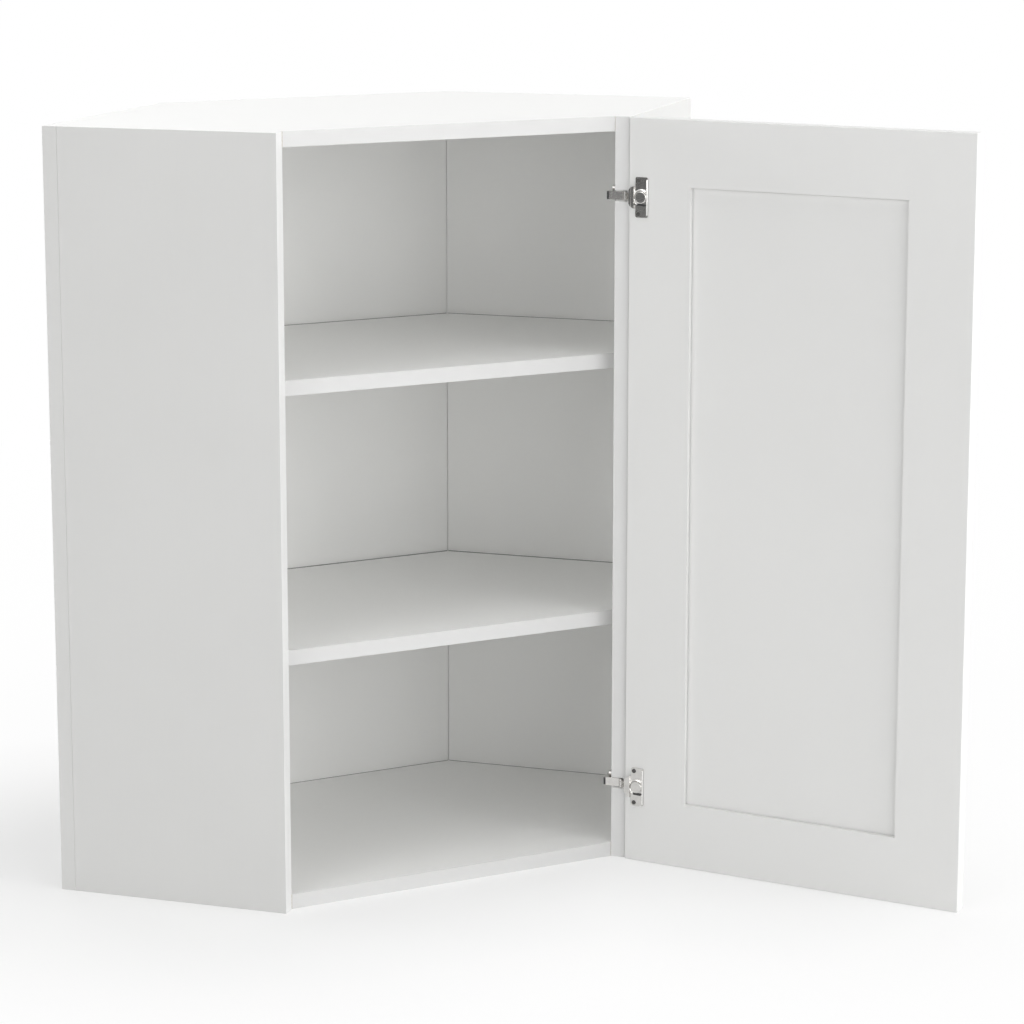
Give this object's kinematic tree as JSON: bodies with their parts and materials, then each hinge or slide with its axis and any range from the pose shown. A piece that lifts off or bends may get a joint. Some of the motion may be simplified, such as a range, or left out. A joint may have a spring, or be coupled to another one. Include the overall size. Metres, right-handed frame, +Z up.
{
  "type": "corner wall cabinet",
  "caption": "Diagonal-front corner wall cabinet with loose shelves on pins and one framed door on two side hinges, for two walls that meet at a right angle.",
  "frame": {"origin": "on the underside, midway between the outer rear corners of the two side panels", "axes": "+Z up, -Y out through the diagonal front, +X to the hinge side as seen from the front"},
  "size_m": [0.9188, 0.7943, 0.9144],
  "materials": {
    "carcass_board": "smooth white satin",
    "door_paint": "white satin paint",
    "dowel_wood": "raw beech",
    "pin_steel": "zinc plated",
    "hinge_steel": "bright nickel plated",
    "screw_steel": "nickel plated",
    "damper_cap": "bright nickel plated"
  },
  "bodies": {
    "carcass": {"left_side_panel": "carcass_board", "right_side_panel": "carcass_board", "left_wall_back_panel": "carcass_board", "right_wall_back_panel": "carcass_board", "corner_back_panel": "carcass_board", "top_panel": "carcass_board", "bottom_panel": "carcass_board", "upper_shelf": "carcass_board", "lower_shelf": "carcass_board", "top_left_rear_dowel": "dowel_wood", "top_left_front_dowel": "dowel_wood", "top_right_rear_dowel": "dowel_wood", "top_right_front_dowel": "dowel_wood", "bottom_left_rear_dowel": "dowel_wood", "bottom_left_front_dowel": "dowel_wood", "bottom_right_rear_dowel": "dowel_wood", "bottom_right_front_dowel": "dowel_wood", "upper_shelf_left_rear_pin": "pin_steel", "upper_shelf_left_front_pin": "pin_steel", "upper_shelf_left_corner_pin": "pin_steel", "upper_shelf_right_rear_pin": "pin_steel", "upper_shelf_right_front_pin": "pin_steel", "upper_shelf_right_corner_pin": "pin_steel", "lower_shelf_left_rear_pin": "pin_steel", "lower_shelf_left_front_pin": "pin_steel", "lower_shelf_left_corner_pin": "pin_steel", "lower_shelf_right_rear_pin": "pin_steel", "lower_shelf_right_front_pin": "pin_steel", "lower_shelf_right_corner_pin": "pin_steel", "upper_mounting_plate": "hinge_steel", "upper_plate_screw_bottom": "screw_steel", "upper_plate_screw_top": "screw_steel", "upper_depth_cam": "screw_steel", "upper_hinge_arm": "hinge_steel", "upper_arm_screw": "screw_steel", "upper_adjusting_screw": "screw_steel", "upper_hinge_pin": "screw_steel", "lower_mounting_plate": "hinge_steel", "lower_plate_screw_bottom": "screw_steel", "lower_plate_screw_top": "screw_steel", "lower_depth_cam": "screw_steel", "lower_hinge_arm": "hinge_steel", "lower_arm_screw": "screw_steel", "lower_adjusting_screw": "screw_steel", "lower_hinge_pin": "screw_steel"},
    "door": {"door_hinge_stile": "door_paint", "door_free_stile": "door_paint", "door_top_rail": "door_paint", "door_bottom_rail": "door_paint", "door_centre_panel": "door_paint", "upper_hinge_leaf": "hinge_steel", "upper_leaf_screw_bottom": "screw_steel", "upper_leaf_screw_top": "screw_steel", "upper_soft_close_damper": "damper_cap", "lower_hinge_leaf": "hinge_steel", "lower_leaf_screw_bottom": "screw_steel", "lower_leaf_screw_top": "screw_steel", "lower_soft_close_damper": "damper_cap"}
  },
  "joints": [
    {"name": "door_hinge", "type": "hinge", "parent": "carcass", "child": "door", "pos_m": [0.2238, -0.19877, 0.4572], "axis": [0, 0, 1], "range_deg": [-125.13, 0]}
  ]
}
